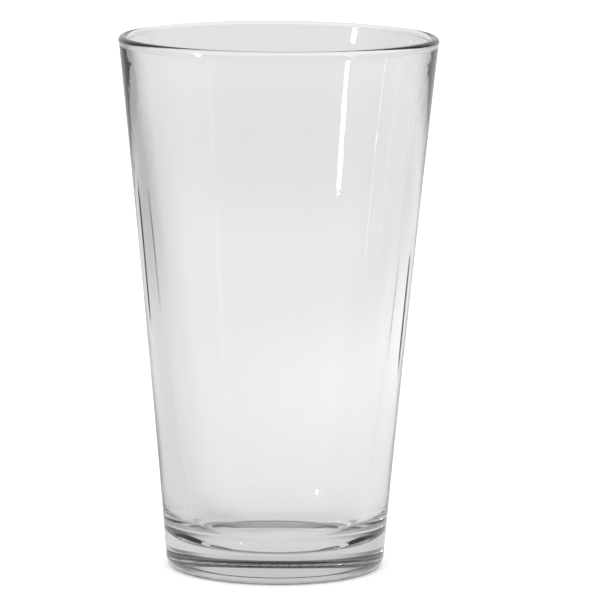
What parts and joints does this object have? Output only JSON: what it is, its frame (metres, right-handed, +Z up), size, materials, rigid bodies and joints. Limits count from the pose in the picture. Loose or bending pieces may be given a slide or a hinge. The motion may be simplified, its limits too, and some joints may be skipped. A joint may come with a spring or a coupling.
{
  "type": "pint glass",
  "caption": "Clear glass pint tumbler: straight tapered wall, rounded rim bead, thick base with a flat bearing ring and a shallow hollow underneath.",
  "frame": {"origin": "centre of the base, on the plane the glass stands on", "axes": "+Z up along the axis of the glass, towards its mouth; X and Y are any two directions across it"},
  "size_m": [0.0892, 0.0892, 0.1492],
  "materials": {
    "clear_glass": "clear, fire-polished pressed soda-lime glass"
  },
  "bodies": {
    "root": {"glass_tumbler": "clear_glass"}
  },
  "joints": []
}
